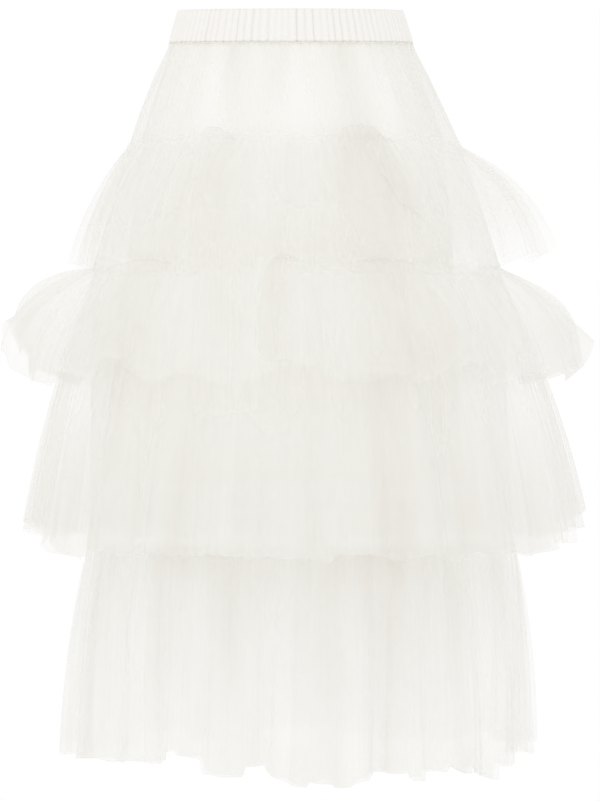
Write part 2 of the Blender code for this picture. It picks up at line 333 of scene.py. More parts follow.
MIDDLE_PETALS = (
    Petal("middle_petal_left", ((0.0, 216, 236), (0.4, 210, 238), (1.0, 206, 243)),
          (0.97, 0.98, 0.99, 0.99, 0.98, 0.92), 0.005, 0.008, 1.2, 1.2, (0.50, 0.04)),
    Petal("middle_petal_centre", ((0.0, 265, 273), (0.4, 262, 273), (1.0, 261, 274)),
          (0.62, 0.84, 0.96, 0.98, 0.99), 0.007, 0.009, 1.8, 1.4, (0.06, 0.35)),
    Petal("middle_petal_right", ((0.0, 286, 303), (0.4, 284, 305), (1.0, 283, 308)),
          (0.97, 0.98, 0.99, 0.98, 0.95, 0.86), 0.007, 0.008, 1.7, 1.5, (0.35, 0.06)),
    Petal("middle_petal_back", ((0.0, 78, 97), (0.4, 74, 102), (1.0, 70, 107)),
          (0.64, 0.98, 0.99, 0.98, 0.74), 0.007, 0.009, 1.1, 1.2, (0.06, 0.25)),
    Petal("middle_petal_back_left", ((0.0, 128, 143), (0.4, 125, 146), (1.0, 123, 148)),
          (0.80, 0.98, 0.98, 0.70), 0.006, 0.008, 0.9, 1.0, (0.25, 0.06)),
)


# ---------------------------------------------------------------- shapes round the body

def directions(columns):
    """The direction of each column in radians, evenly from 0 to just under a full turn."""
    return np.arange(columns) * TURN / columns


def evenly(count):
    """Shares from 0 to 1, evenly spaced."""
    return np.linspace(0.0, 1.0, count)


def held(values):
    """Values held between 0 and 1."""
    return np.clip(values, 0.0, 1.0)


def wander(turn, seed, slowest, fastest):
    """An uneven smooth curve round the body with mean 0 and spread 1: one cosine for each whole number of
    waves from slowest to fastest, with seeded heights and phases."""
    draw = np.random.default_rng(seed)
    paces = np.arange(slowest, fastest + 1).reshape(-1, *(1,) * np.ndim(turn))
    heights = draw.uniform(0.4, 1.0, paces.shape)
    phases = draw.uniform(0.0, TURN, paces.shape)
    total = (heights * np.cos(paces * turn + phases)).sum(axis=0)
    return total / np.sqrt((heights ** 2).sum() / 2.0)


def outward(turn, across, along):
    """Unit vectors that point out of an ellipse of these half sizes."""
    x = np.cos(turn) / across
    y = np.sin(turn) / along
    length = np.hypot(x, y)
    return x / length, y / length


def dipped(y, z):
    """z with the waist line's fall towards the front, which fades out by the upper frill's seam."""
    fade = held((z - UPPER.top) / (WAIST - UPPER.top))
    return z + FRONT_DIP * fade * y


def at_height(sections, z):
    """Sections at any heights, on the straight wall between two rows of a table, as columns of numbers."""
    z = np.reshape(z, (-1, 1))
    depths = [-section.z for section in sections]
    return Section(z, *(np.interp(-z, depths, column) for column in list(zip(*sections))[1:]))


def sections_down(sections, share):
    """Sections at these shares of the way down from the first to the last of a table."""
    top, foot = sections[0].z, sections[-1].z
    return at_height(sections, top + share * (foot - top))


def tube(turn, section, out):
    """Points (rows, columns, 3) of a tube through one section or a column of them: an oval whose four sides
    lie at their own distances, moved along its outward direction by out."""
    across = np.where(np.cos(turn) > 0, section.right, section.left)
    along = np.where(np.sin(turn) > 0, section.back, section.front)
    away_x, away_y = outward(turn, across, along)
    x = across * np.cos(turn) + out * away_x
    y = along * np.sin(turn) + out * away_y
    return np.stack([x, y, dipped(y, section.z + 0.0 * x)], axis=-1)


def round_table(turn, falls, column):
    """A column of a table of falls, followed smoothly round the body: each step between rows is a cosine."""
    values = np.array([getattr(fall, column) for fall in falls])
    place = turn / (TURN / len(falls))
    low = np.floor(place).astype(int)
    share = 0.5 - 0.5 * np.cos(pi * (place - low))
    return values[low] * (1.0 - share) + values[(low + 1) % len(falls)] * share


def near(turn, direction, half_width, power=2):
    """A bump of height 1 at a direction, which falls away on both sides as a bell curve, with a flatter top
    and steeper sides for a higher even power."""
    apart = (np.degrees(turn) - direction + 180.0) % 360.0 - 180.0
    return np.exp(-(apart / half_width) ** power)


def torn(turn, flaps):
    """How much longer each column is for its flap: each flap's cut runs straight from its own length to the
    one where it ends, and a step half a degree wide leads to the next."""
    if not flaps:
        return 0.0 * turn
    begins = np.array([flap.begins for flap in flaps], float)
    ends = np.append(begins[1:], begins[0] + 360.0) - 0.5
    places = np.stack([begins, ends], axis=1).ravel()
    lengths = 0.001 * np.array([(flap.longer, flap.ends) for flap in flaps]).ravel()
    return np.interp(np.degrees(turn), places, lengths, period=360.0)


def wave(turn, tier):
    """From -1 to 1, the large waves of a tier: a cosine whose pace and depth wander round the body."""
    pace = tier.uneven * (np.sin(3.0 * turn + tier.waves) + 0.6 * np.sin(7.0 * turn + 2.0))
    depth = 0.74 + 0.26 * np.sin(5.0 * turn + 0.3 * tier.waves)
    return depth * np.cos(tier.waves * (turn + pace / 5.0))


def slopes(turn, share, layer):
    """(slope below level in radians at each share of the way down, cut length) of a layer. The slope changes
    evenly from seam to hem, less half a sine where a fold curls late. The more level, the less it swings."""
    tier = layer.tier
    at_seam, at_hem, drop = (round_table(turn, tier.falls, name) for name in ("at_seam", "at_hem", "drop"))
    swing = tier.swing * wave(turn, tier) * np.clip(at_seam / 45.0, 0.25, 1.0)
    at_seam = at_seam - swing + layer.steeper
    at_hem = at_hem - swing + layer.steeper
    drop = drop + layer.longer + torn(turn, tier.flaps) + WAVER * wander(turn, layer.seed + 20, 12, 60)
    late = 0.0 * turn
    for fold in tier.folds + layer.folds:
        bump = near(turn, fold.direction, fold.half_width)
        at_seam -= fold.lift_seam * bump
        at_hem -= fold.lift_hem * bump
        drop += fold.longer * bump
        late += fold.late * bump
    return np.radians(at_seam + (at_hem - at_seam) * share - late * np.sin(pi * share)), drop


def fold_pattern(turn, share, count, seed, lean):
    """(out, aside) of uneven folds: out is the cosine of an angle that grows count times round the body at a
    wandering pace and leans on its way down, and aside the sine of twice that angle, which squeezes each
    fold's foot and spreads its crown. Their depth wanders too."""
    angle = count * turn + 1.1 * wander(turn, seed, 3, count // 3)
    angle = angle + lean * wander(turn, seed + 1, 2, 9) * share
    depth = np.clip(1.0 + 0.38 * wander(turn, seed + 2, 4, count // 2), 0.25, 1.8)
    return depth * np.cos(angle), depth * np.sin(2.0 * angle)


def fallen(turn, layer):
    """Points (rows, columns, 3) of a layer of a tier: two rows of heading flat on the base skirt, then cloth
    whose steps down its slope add up, with pleats that grow towards the hem and gathers that fade from the
    seam. The pleats' crowns lie near the solid's outline and their hollows inside it."""
    tier = layer.tier
    share = evenly(layer.rows - 2)[:, None]
    slope, drop = slopes(turn, share, layer)
    step = drop / (len(share) - 1)
    between = (slope[1:] + slope[:-1]) / 2.0
    out = np.vstack([0.0 * turn[None], np.cumsum(np.cos(between) * step, axis=0)])
    down = np.vstack([0.0 * turn[None], np.cumsum(np.sin(between) * step, axis=0)])

    pleat_out, pleat_aside = fold_pattern(turn, share, tier.pleats, tier.pleat_seed, 1.2)
    gather_out, gather_aside = fold_pattern(turn, share, layer.gathers, layer.seed + 10, 2.0)
    pleats = layer.pleat_height * (0.12 + 0.88 * share ** 0.8)
    gathers = tier.gather_height * (1.0 - share) ** 2
    lift = pleats * (pleat_out - 0.7 * share) + gathers * gather_out
    aside = 0.40 * pleats * pleat_aside + 0.30 * gathers * gather_aside
    out = out + lift * np.sin(slope)
    down = down - lift * np.cos(slope)

    heading = at_height(BASE_SECTIONS, np.linspace(tier.top, tier.top - HEADING, 3)[:-1])
    seam = at_height(BASE_SECTIONS, tier.top - HEADING)
    lean = np.arctan2(seam.front - heading.front[0], HEADING)
    clear = (1.5 * WALL + SEAM_GAP) / np.cos(lean) - CLOSER * layer.steeper
    away_x, away_y = outward(turn, (seam.left + seam.right) / 2.0, (seam.front + seam.back) / 2.0)
    start = tube(turn, seam, clear)
    cloth = start + np.stack([out * away_x - aside * away_y, out * away_y + aside * away_x, -down], axis=-1)
    strip = tube(turn, heading, clear + 0.5 * tier.gather_height * gather_out[:1])
    return np.vstack([strip, cloth])


def surface_at(turn, share, layer, columns=1200):
    """Points of a layer below its seam at any directions and shares of the way down: the four points of its
    grid round each place, weighed by how near they are."""
    grid = fallen(directions(columns), layer)[2:]
    row, column = share * (len(grid) - 1), turn / TURN * columns
    above, before = np.minimum(row.astype(int), len(grid) - 2), np.floor(column).astype(int)
    low, aside = (row - above)[..., None], (column - before)[..., None]
    before, after = before % columns, (before + 1) % columns
    upper = grid[above, before] * (1.0 - aside) + grid[above, after] * aside
    lower = grid[above + 1, before] * (1.0 - aside) + grid[above + 1, after] * aside
    return upper * (1.0 - low) + lower * low


def petal_cloth(petal, layer, rows=46, columns=110):
    """(points, crowding, depth, line) of a petal: its layer's own surface between the petal's sides, lifted
    off it. The lift rounds off towards both sides as a half circle does, and over the first third of the way
    down the cloth bulges up and out as half a sine of the root of the way, which is highest near the seam.
    The cloth thins out to both sides, and its hem's line shows where it ends above its layer's."""
    across, down = evenly(columns)[None], evenly(rows)[:, None]
    ends = np.interp(across, evenly(len(petal.hem)), petal.hem)
    share = down * ends
    shares, lefts, rights = np.array(petal.sides).T
    left, right = np.interp(share, shares, lefts), np.interp(share, shares, rights)
    turn = np.radians(left + (right - left) * across)
    points = surface_at(turn, share, layer)

    crown = np.sqrt(held(1.0 - (2.0 * across - 1.0) ** 2))
    ridges = 1.0 + 0.25 * np.cos(TURN * 2.5 * across + 1.5 * down)
    lift = petal.lift * crown * ridges * held(share / 0.12)
    bulge = petal.rise * crown * np.sin(pi * held(share / 0.34) ** 0.5)
    points[..., 0] += (lift + 0.55 * bulge) * np.cos(turn)
    points[..., 1] += (lift + 0.55 * bulge) * np.sin(turn)
    points[..., 2] += bulge
    uneven = streaks(turn, share, layer.seed + 60)
    thinner = held(0.1 + across / petal.soft[0]) * held(0.1 + (1.0 - across) / petal.soft[1])
    line = 0.22 * held((0.92 - ends) / 0.1) + 0.0 * down
    crowding = petal.crowd * (1.0 - 0.35 * share) * uneven * thinner
    # the third value is painted shade: deeper where the threads crowd
    return points, crowding, (petal.depth + 0.8 * (uneven - 1.0)) * thinner, line


def streaks(turn, share, seed):
    """How much closer the threads crowd at each point, about 1: faint fine streaks that turn into others on
    their way down, over broad soft ones that lean a little, and soft patches."""
    fine = wander(turn, seed, 80, 240) * (1.0 - share) + wander(turn, seed + 1, 80, 240) * share
    broad = wander(turn + 0.02 * share, seed + 2, 24, 60)
    broader = wander(turn - 0.03 * share, seed + 3, 6, 22)
    patches = np.cos(3.0 * share * pi + 2.0 * broader)
    return np.clip(1.0 + 0.02 * fine + 0.08 * broad + 0.12 * broader + 0.07 * patches, 0.15, 2.2)


def bunched(turn, share, tier, uneven):
    """(how much closer the threads crowd, how deep the tulle's painted shade is) at each point of a tier: its
    tier's usual, more where threads crowd, and more or less in each bunch, which is a bell curve both ways."""
    closer = 1.0 + 0.0 * uneven
    depth = np.interp(share, evenly(len(tier.depths)), tier.depths) + 0.8 * (uneven - 1.0)
    for bunch in tier.bunches:
        height = np.exp(-((share - bunch.share) / bunch.half_share) ** 2)
        height = height * near(turn, bunch.direction, bunch.half_width)
        closer += bunch.crowd * height
        depth += bunch.depth * height
    return np.clip(closer, 0.2, 2.0), np.clip(depth, 0.0, 1.3)


def fullness(points, cut_width):
    """How many widths of flat cloth lie in each width of a tube's cloth, at each point: the cut width of a
    column over its width here, evened over the folds next to it."""
    columns = points.shape[1]
    here = np.linalg.norm(np.roll(points, -1, axis=1) - points, axis=2)
    reach = columns // 90
    padded = np.hstack([here[:, -reach:], here, here[:, :reach]])
    total = np.cumsum(np.hstack([np.zeros((len(here), 1)), padded]), axis=1)
    mean = (total[:, 2 * reach + 1:] - total[:, :-2 * reach - 1]) / (2 * reach + 1)
    return np.clip(cut_width / columns / mean, 0.7, 5.0)


# ---------------------------------------------------------------- meshes

def steps(points, axis):
    """The lengths of the steps from each point to the next, down the cloth (axis 0) or across it (axis 1)."""
    return np.linalg.norm(np.diff(points, axis=axis), axis=2)


def cloth_mesh(name, points, cut_width, ring, closed):
    """A smooth mesh of quads between each row and the next, and each column and the next. Its Cloth map is in
    metres: across is along the cut cloth, up is the way from the hem. ring joins the last column to the
    first, and closed the last row to the first."""
    rows, columns = points.shape[:2]
    row = np.arange(rows if closed else rows - 1)[:, None]
    column = np.arange(columns if ring else columns - 1)[None]
    following, below = (column + 1) % columns, (row + 1) % rows
    corners = np.stack([row * columns + column, below * columns + column,
                        below * columns + following, row * columns + following], axis=-1).reshape(-1, 4)
    mesh = bpy.data.meshes.new(name)
    mesh.vertices.add(rows * columns)
    mesh.vertices.foreach_set("co", points.astype(np.float32).ravel())
    mesh.loops.add(corners.size)
    mesh.loops.foreach_set("vertex_index", corners.ravel())
    mesh.polygons.add(len(corners))
    mesh.polygons.foreach_set("loop_start", np.arange(0, corners.size, 4))
    mesh.update(calc_edges=True)
    mesh.shade_smooth()

    heights = np.append(np.cumsum(steps(points, 0).mean(axis=1)[::-1])[::-1], [0.0, 0.0])
    left = np.broadcast_to(column * cut_width / columns, (len(row), column.size))
    right = left + cut_width / columns
    high, low = (np.broadcast_to(heights[edge], left.shape) for edge in (row, row + 1))
    places = ((left, high), (left, low), (right, low), (right, high))
    corner_uv = np.stack([np.stack(place, -1) for place in places], axis=2)
    mesh.uv_layers.new(name="Cloth").data.foreach_set("uv", corner_uv.astype(np.float32).ravel())
    return mesh


def sew(name, points, cut_width, finish, node, ring=True, closed=False, **values):
    """A piece of cloth in the scene, which rides on the body and stands for its node. Its points keep the
    values, by name, for its material to read."""
    mesh = cloth_mesh(name, points, cut_width, ring, closed)
    for value, numbers in values.items():
        places = mesh.attributes.new(value, "FLOAT", "POINT").data
        places.foreach_set("value", numbers.astype(np.float32).ravel())
    mesh.materials.append(finish_of(finish))
    made = bpy.data.objects.new(name, mesh)
    bpy.context.scene.collection.objects.link(made)
    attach(made, BODY)
    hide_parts(node)
    return made


# ---------------------------------------------------------------- finishes

def fill(tree, node, sockets):
    """Sets a node's inputs to numbers and colours, or links them to other nodes' outputs."""
    for socket, value in sockets.items():
        if isinstance(value, bpy.types.NodeSocket):
            tree.links.new(value, node.inputs[socket])
        else:
            node.inputs[socket].default_value = value


def add(tree, kind, sockets=(), **settings):
    """A new shader node of this kind with its settings and its inputs filled."""
    made = tree.nodes.new("ShaderNode" + kind)
    for name, value in settings.items():
        setattr(made, name, value)
    fill(tree, made, dict(sockets))
    return made


def sums(tree, operation, *values, clamp=False):
    """The output of a Math node."""
    made = add(tree, "Math", dict(enumerate(values)), operation=operation, use_clamp=clamp)
    return made.outputs[0]


def opaque(colour):
    """A colour of three numbers with its fourth, for a socket."""
    return (*colour, 1.0)


def blend(tree, share, first, second, clamp=True):
    """A colour that goes from first to second with share, and on past them where it isn't clamped."""
    made = add(tree, "Mix", {0: share, 6: first, 7: second}, data_type="RGBA", clamp_factor=clamp)
    return made.outputs[2]


def kept(tree, name):
    """The number of this name that the points keep."""
    return add(tree, "Attribute", attribute_name=name).outputs["Fac"]


def blank(name, colour):
    """A material with nothing but a Principled shader and its output: (material, node tree, shader)."""
    made = bpy.data.materials.new(name)
    made.use_nodes = True
    made.diffuse_color = opaque(colour)
    tree = made.node_tree
    shader = tree.nodes["Principled BSDF"]
    shader.inputs["Base Color"].default_value = opaque(colour)
    return made, tree, shader


def cloth_place(tree, across, up):
    """The Cloth map with its metres stretched by across and up, so that a pattern's unit is one over them."""
    place = add(tree, "UVMap", uv_map="Cloth").outputs[0]
    return add(tree, "Mapping", {"Vector": place, "Scale": (across, up, 1.0)}).outputs[0]


def noise(tree, across, up, detail=2.0):
    """Soft noise on the Cloth map, with about this many spots to the metre across and up it."""
    place = cloth_place(tree, across, up)
    return add(tree, "TexNoise", {"Vector": place, "Scale": 1.0, "Detail": detail}).outputs[0]


def tulle_finish(settings, name):
    """Sheer net. Crossing threads make a diamond net: the cosine of the way along the cloth times the cosine
    of the way up it, both turned by half a right angle, is 0 on the threads. How much of what is behind shows
    depends on how closely the threads lie, the colour on how deep its painted shade is (darker and warmer
    where the cloth stacks up), and how plain the fine line along its cut hem, denser and painted darker as
    shade, is
    on its line: the points keep all three."""
    made, tree, shader = blank(name, settings.colour)
    pace = pi / settings.net_cell
    place = cloth_place(tree, pace, pace)
    turned = add(tree, "Mapping", {"Vector": place, "Rotation": (0.0, 0.0, pi / 4.0)}).outputs[0]
    ways = add(tree, "SeparateXYZ", {0: turned}).outputs
    hole = sums(tree, "ABSOLUTE", sums(tree, "MULTIPLY", *(sums(tree, "COSINE", way) for way in ways[:2])))
    # the mean of hole is 0.4, so the net hides as much as an even cloth would
    thinner = sums(tree, "MULTIPLY", hole, settings.relief)
    thread = sums(tree, "SUBTRACT", 1.0 + 0.4 * settings.relief, thinner)
    layers = sums(tree, "MULTIPLY", kept(tree, "crowding"), thread)
    hidden = sums(tree, "SUBTRACT", 1.0, sums(tree, "POWER", 1.0 - settings.cover, layers))
    height = add(tree, "SeparateXYZ", {0: cloth_place(tree, 1.0, 1.0)}).outputs[1]
    edge = sums(tree, "MULTIPLY", sums(tree, "LESS_THAN", height, settings.edge), kept(tree, "line"))
    # depth is painted shade: the colour goes darker and warmer where the cloth stacks up
    depth = kept(tree, "depth")
    tone = blend(tree, depth, opaque(settings.colour), opaque(settings.shaded_tulle_colour), clamp=False)
    # painted shade: the raw hem's fine line, denser in alpha, is coloured darker
    hem_shade = sums(tree, "MULTIPLY", edge, 2.0, clamp=True)
    fill(tree, shader, {
        "Alpha": sums(tree, "ADD", hidden, edge, clamp=True),
        "Base Color": blend(tree, hem_shade, tone, opaque(settings.hem_shade_colour)),
        "Roughness": 0.9,
        "Specular IOR Level": 0.2,
    })
    return made


def casing_finish(settings, name):
    """Matt woven cotton: a fine plain weave in bump over a soft change of colour; creases get painted shade.
    """
    made, tree, shader = blank(name, settings.colour)
    weave = add(tree, "TexWave", {"Vector": cloth_place(tree, 900.0, 900.0), "Scale": 1.0},
                wave_type="BANDS", bands_direction="DIAGONAL")
    grain = noise(tree, 300.0, 90.0, 3.0)
    height = sums(tree, "ADD", weave.outputs[1], grain)
    bump = add(tree, "Bump", {"Height": height, "Strength": 0.25, "Distance": 0.0003})
    # painted shade: the creases between the ribs are coloured darker, as if in shadow
    crease = sums(tree, "MULTIPLY", kept(tree, "crease"), 0.8)
    grain_and_crease_shade = sums(tree, "ADD", crease, sums(tree, "MULTIPLY", grain, 0.2))
    fill(tree, shader, {
        "Base Color": blend(tree, grain_and_crease_shade, opaque(settings.colour), opaque(settings.crease_shade_colour)),
        "Normal": bump.outputs[0],
        "Roughness": 0.75,
        "Specular IOR Level": 0.25,
    })
    return made


def cord_finish(settings, name):
    """Buff cotton thread in short stitches along the cord, with a darker copy of its colour as painted shade.
    """
    made, tree, shader = blank(name, settings.cord_colour)
    stitches = noise(tree, 260.0, 900.0)
    tone = add(tree, "MapRange", {"Value": stitches, "From Min": 0.35, "From Max": 0.62}).outputs[0]
    # painted shade: a darker copy of the cord's own colour
    shaded = opaque(0.82 * part for part in settings.cord_colour)
    fill(tree, shader, {"Base Color": blend(tree, tone, shaded, opaque(settings.colour)), "Roughness": 0.8})
    return made


def slip_finish(settings, name):
    """Satin: a low sheen broken by fine lines that run down the cloth."""
    made, tree, shader = blank(name, settings.slip_colour)
    lines = noise(tree, 1500.0, 60.0)
    rough = add(tree, "MapRange", {"Value": lines, "To Min": 0.38, "To Max": 0.52})
    bump = add(tree, "Bump", {"Height": lines, "Strength": 0.1, "Distance": 0.0002})
    fill(tree, shader, {"Roughness": rough.outputs[0], "Normal": bump.outputs[0]})
    return made


# A finish: the function and the group of settings that make it, and the record's slot that it belongs to.
Finish = namedtuple("Finish", "make settings slot")
FINISHES = {
    "silk tulle": Finish(tulle_finish, "skirt_tulle", "tulle"),
    "casing cotton": Finish(casing_finish, "skirt_casing", "casing"),
    "seam thread": Finish(cord_finish, "skirt_casing", "casing"),
    "slip satin": Finish(slip_finish, "skirt_casing", "slip"),
}


def finish_of(name):
    """The material of this name, made once."""
    finish = FINISHES[name]
    settings = getattr(bpy.context.scene, finish.settings)
    return bpy.data.materials.get(name) or finish.make(settings, name)


# ---------------------------------------------------------------- settings

COLOUR = {"subtype": "COLOR", "size": 3, "min": 0.0, "max": 1.0}
LENGTH = {"subtype": "DISTANCE", "unit": "LENGTH"}


class TulleSettings(bpy.types.PropertyGroup):
    colour: FloatVectorProperty(name="Tulle", description="Colour of the net's threads",
                                default=(0.985, 0.983, 0.968), **COLOUR)
    # painted shade: the colour for crowded tulle stands in for the shade of stacked layers
    shaded_tulle_colour: FloatVectorProperty(name="Shaded crowded tulle", description="Colour where the threads lie closest",
                                     default=(0.915, 0.902, 0.862), **COLOUR)
    # painted shade: the darker colour of the raw hem's fine line
    hem_shade_colour: FloatVectorProperty(name="Shaded raw hem", description="Colour of the net's cut edge",
                                    default=(0.60, 0.54, 0.42), **COLOUR)
    cover: FloatProperty(name="Cover", description="Share of what is behind that one flat layer of net hides",
                         subtype="FACTOR", min=0.02, max=0.9, default=0.2)
    relief: FloatProperty(name="Relief", description="How much less a cell's middle hides than its threads",
                          subtype="FACTOR", min=0.0, max=1.0, default=0.06)
    net_cell: FloatProperty(name="Net cell", description="Width of one cell of the net",
                            min=0.0005, max=0.01, default=0.0016, **LENGTH)
    edge: FloatProperty(name="Cut edge", description="Width of the denser line along a raw hem",
                        min=0.0, max=0.01, default=0.0012, **LENGTH)
    columns: IntProperty(name="Columns", description="Points round each layer of a tier",
                         min=200, max=3000, default=1000)


class CasingSettings(bpy.types.PropertyGroup):
    colour: FloatVectorProperty(name="Casing", description="Colour of the waistband's cloth",
                                default=(0.985, 0.965, 0.93), **COLOUR)
    # painted shade: the darker colour laid in the creases between the waistband's gathers
    crease_shade_colour: FloatVectorProperty(name="Crease shade", description="Colour between the waistband's gathers",
                                       default=(0.95, 0.928, 0.888), **COLOUR)
    slip_colour: FloatVectorProperty(name="Slip", description="Colour of the lining's satin",
                                     default=(0.97, 0.96, 0.93), **COLOUR)
    cord_colour: FloatVectorProperty(name="Cord", description="Colour of the thread along the band's foot",
                                     default=(0.95, 0.88, 0.72), **COLOUR)
    cord_radius: FloatProperty(name="Cord radius", description="Radius of the corded seam at the band's foot",
                               min=0.0001, max=0.003, default=0.0005, **LENGTH)
    ribs: IntProperty(name="Ribs", description="Gathers of the casing over the elastic, all round",
                      min=20, max=200, default=98)
    rib_height: FloatProperty(name="Rib height", description="How far a rib stands out of the casing",
                              min=0.0, max=0.005, default=0.0018, **LENGTH)


class StageSettings(bpy.types.PropertyGroup):
    floor_height: FloatProperty(name="Floor", description="Height of the floor under the skirt",
                                default=-1.06, **LENGTH)
    floor_radius: FloatProperty(name="Floor radius", description="Radius of the round pale floor",
                                min=0.1, default=1.1, **LENGTH)
    floor_colour: FloatVectorProperty(name="Floor colour", description="Colour of the floor",
                                      default=(0.92, 0.92, 0.91), **COLOUR)
    aim: FloatVectorProperty(name="Aim", description="The place that the level camera looks at",
                             subtype="TRANSLATION", unit="LENGTH", size=3, default=(0.0105, 0.0, -0.3945))
    distance: FloatProperty(name="Camera distance", description="From the camera to the middle of the skirt",
                            min=0.5, default=3.3, **LENGTH)
    view_height: FloatProperty(name="View height", description="Height of the picture at the skirt's middle",
                               min=0.1, default=0.8453, **LENGTH)
    dim: FloatProperty(name="Dim side", description="Brightness of the light from the dim side",
                       min=0.0, max=5.0, default=0.85)
    bright: FloatProperty(name="Bright side", description="Brightness of the light from the bright side",
                          min=0.0, max=5.0, default=1.02)
    bright_side: FloatVectorProperty(name="Bright way", description="Where the brightest light comes from",
                                     subtype="DIRECTION", size=3, default=(-0.3, -0.8, 0.5))


# ---------------------------------------------------------------- pieces

def build_layer(layer):
    """One layer of a tier, as a piece. Its heading fades out upwards, its threads take the hem's crowding as
    the eighth power of the way down, and its raw hem shows faintly."""
    tier = layer.tier
    turn = directions(bpy.context.scene.skirt_tulle.columns)
    points = fallen(turn, layer)
    share = evenly(layer.rows)[:, None]
    usual, at_hem = (round_table(turn, tier.falls, column) for column in ("crowd", "crowd_hem"))
    crowds = np.interp(share, evenly(len(tier.crowds)), tier.crowds)
    crowds = crowds * (usual + (at_hem - usual) * share ** 8)
    crowds[:2] *= [[0.0], [0.5]]
    uneven = streaks(turn, share, layer.seed + 30)
    closer, depth = bunched(turn, share, tier, uneven)
    # depth is painted shade: the tulle is coloured darker and warmer where its cloth stacks up
    made = sew(layer.name, points, tier.cut_width, "silk tulle", tier.node, depth=depth,
               crowding=crowds * fullness(points, tier.cut_width) * uneven * closer,
               line=np.full(points.shape[:2], 0.04))
    length = HEADING + float(np.mean(slopes(turn, 0.0, layer)[1]))


def build_petal(petal, layer):
    """One petal in front of a layer, as a piece."""
    points, crowding, depth, line = petal_cloth(petal, layer)
    width = PETAL_SPARE * float(steps(points, 1).sum(axis=1).mean())
    made = sew(petal.name, points, width, "silk tulle", layer.tier.node, ring=False,
               crowding=crowding, depth=depth, line=line)


def build_tier(layers, petals=()):
    """The layers of a tier, and the petals in front of its outer layer."""
    for layer in layers:
        build_layer(layer)
    for petal in petals:
        build_petal(petal, layers[-1])


class SKIRT_OT_waistband(bpy.types.Operator):
    """Gathered elastic casing with a corded seam along its foot"""
    bl_idname = "skirt.waistband"
    bl_label = "Waistband"

    def execute(self, context):
        settings = context.scene.skirt_casing
        turn = directions(settings.ribs * 10)
        # half a cosine for each rib, at an uneven pace: 1 on a rib's crown and 0 in the crease beside it
        uneven = 0.8 * wander(turn, 5, 4, settings.ribs // 3)
        crown = np.abs(np.cos((settings.ribs * turn + uneven) / 2.0))
        depth = np.clip(1.0 + 0.45 * wander(turn, 6, 5, settings.ribs // 2), 0.3, 1.6)
        rib = settings.rib_height * (crown ** 0.7 - 0.6) * depth
        # up the inner face, over the rolled brim and down the outer face: how high each row lies, how far
        # through the band it is and how much of the ribs it shows
        rise = evenly(15)[:, None]
        up = np.vstack([rise[::2], [[1.0], [1.0]], rise[::-1]])
        through = np.vstack([0.0 * rise[::2], [[0.35], [0.75]], 1.0 - 0.18 * np.abs(2.0 * rise - 1.0) ** 6])
        ribbed = np.vstack([0.0 * rise[::2], [[0.3], [0.7]], held(6.0 * rise[::-1] + 0.5)])
        section = Section(*(low + (high - low) * up for low, high in zip(BAND_FOOT, BAND_BRIM)))
        points = tube(turn, section, through * BAND_THICK + ribbed * rib)
        # crease holds painted shade: how much darker the casing is coloured in each crease between the ribs
        sew("waistband_casing", points, CASING_CUT, "casing cotton", "waistband", closed=True,
            crease=held(1.4 * ribbed * (1.0 - crown) ** 1.5))
        self.sew_cord(settings)
        return {"FINISHED"}

    def sew_cord(self, settings, points_round=1400, stitches=236, sides=8):
        """A thin cord round the band's foot, whose radius swells at each stitch."""
        turn = directions(points_round)
        swell = 1.0 + 0.22 * np.cos(stitches * turn) + 0.12 * wander(turn, 8, 30, 90)
        radius = settings.cord_radius * swell
        across = TURN * np.arange(sides)[:, None] / sides
        section = BAND_FOOT._replace(z=BAND_FOOT.z - CORD_BELOW)
        points = tube(turn, section, CORD_OUT + radius * np.cos(across))
        points[..., 2] += radius * np.sin(across)
        sew("waistband_cord", points, CORD_CUT, "seam thread", "waistband", closed=True)


class SKIRT_OT_slip(bpy.types.Operator):
    """Plain satin slip that hangs inside from the waistband"""
    bl_idname = "skirt.slip"
    bl_label = "Slip"

    def execute(self, context):
        turn, share = directions(320), evenly(50)[:, None]
        section = sections_down(SLIP_SECTIONS, share)
        drape, _ = fold_pattern(turn, share, 17, 40, 0.8)
        points = tube(turn, section, WALL / 2.0 + section.gather * drape)
        made = sew("lining_satin", points, SLIP_CUT[0], "slip satin", "lining")
        return {"FINISHED"}


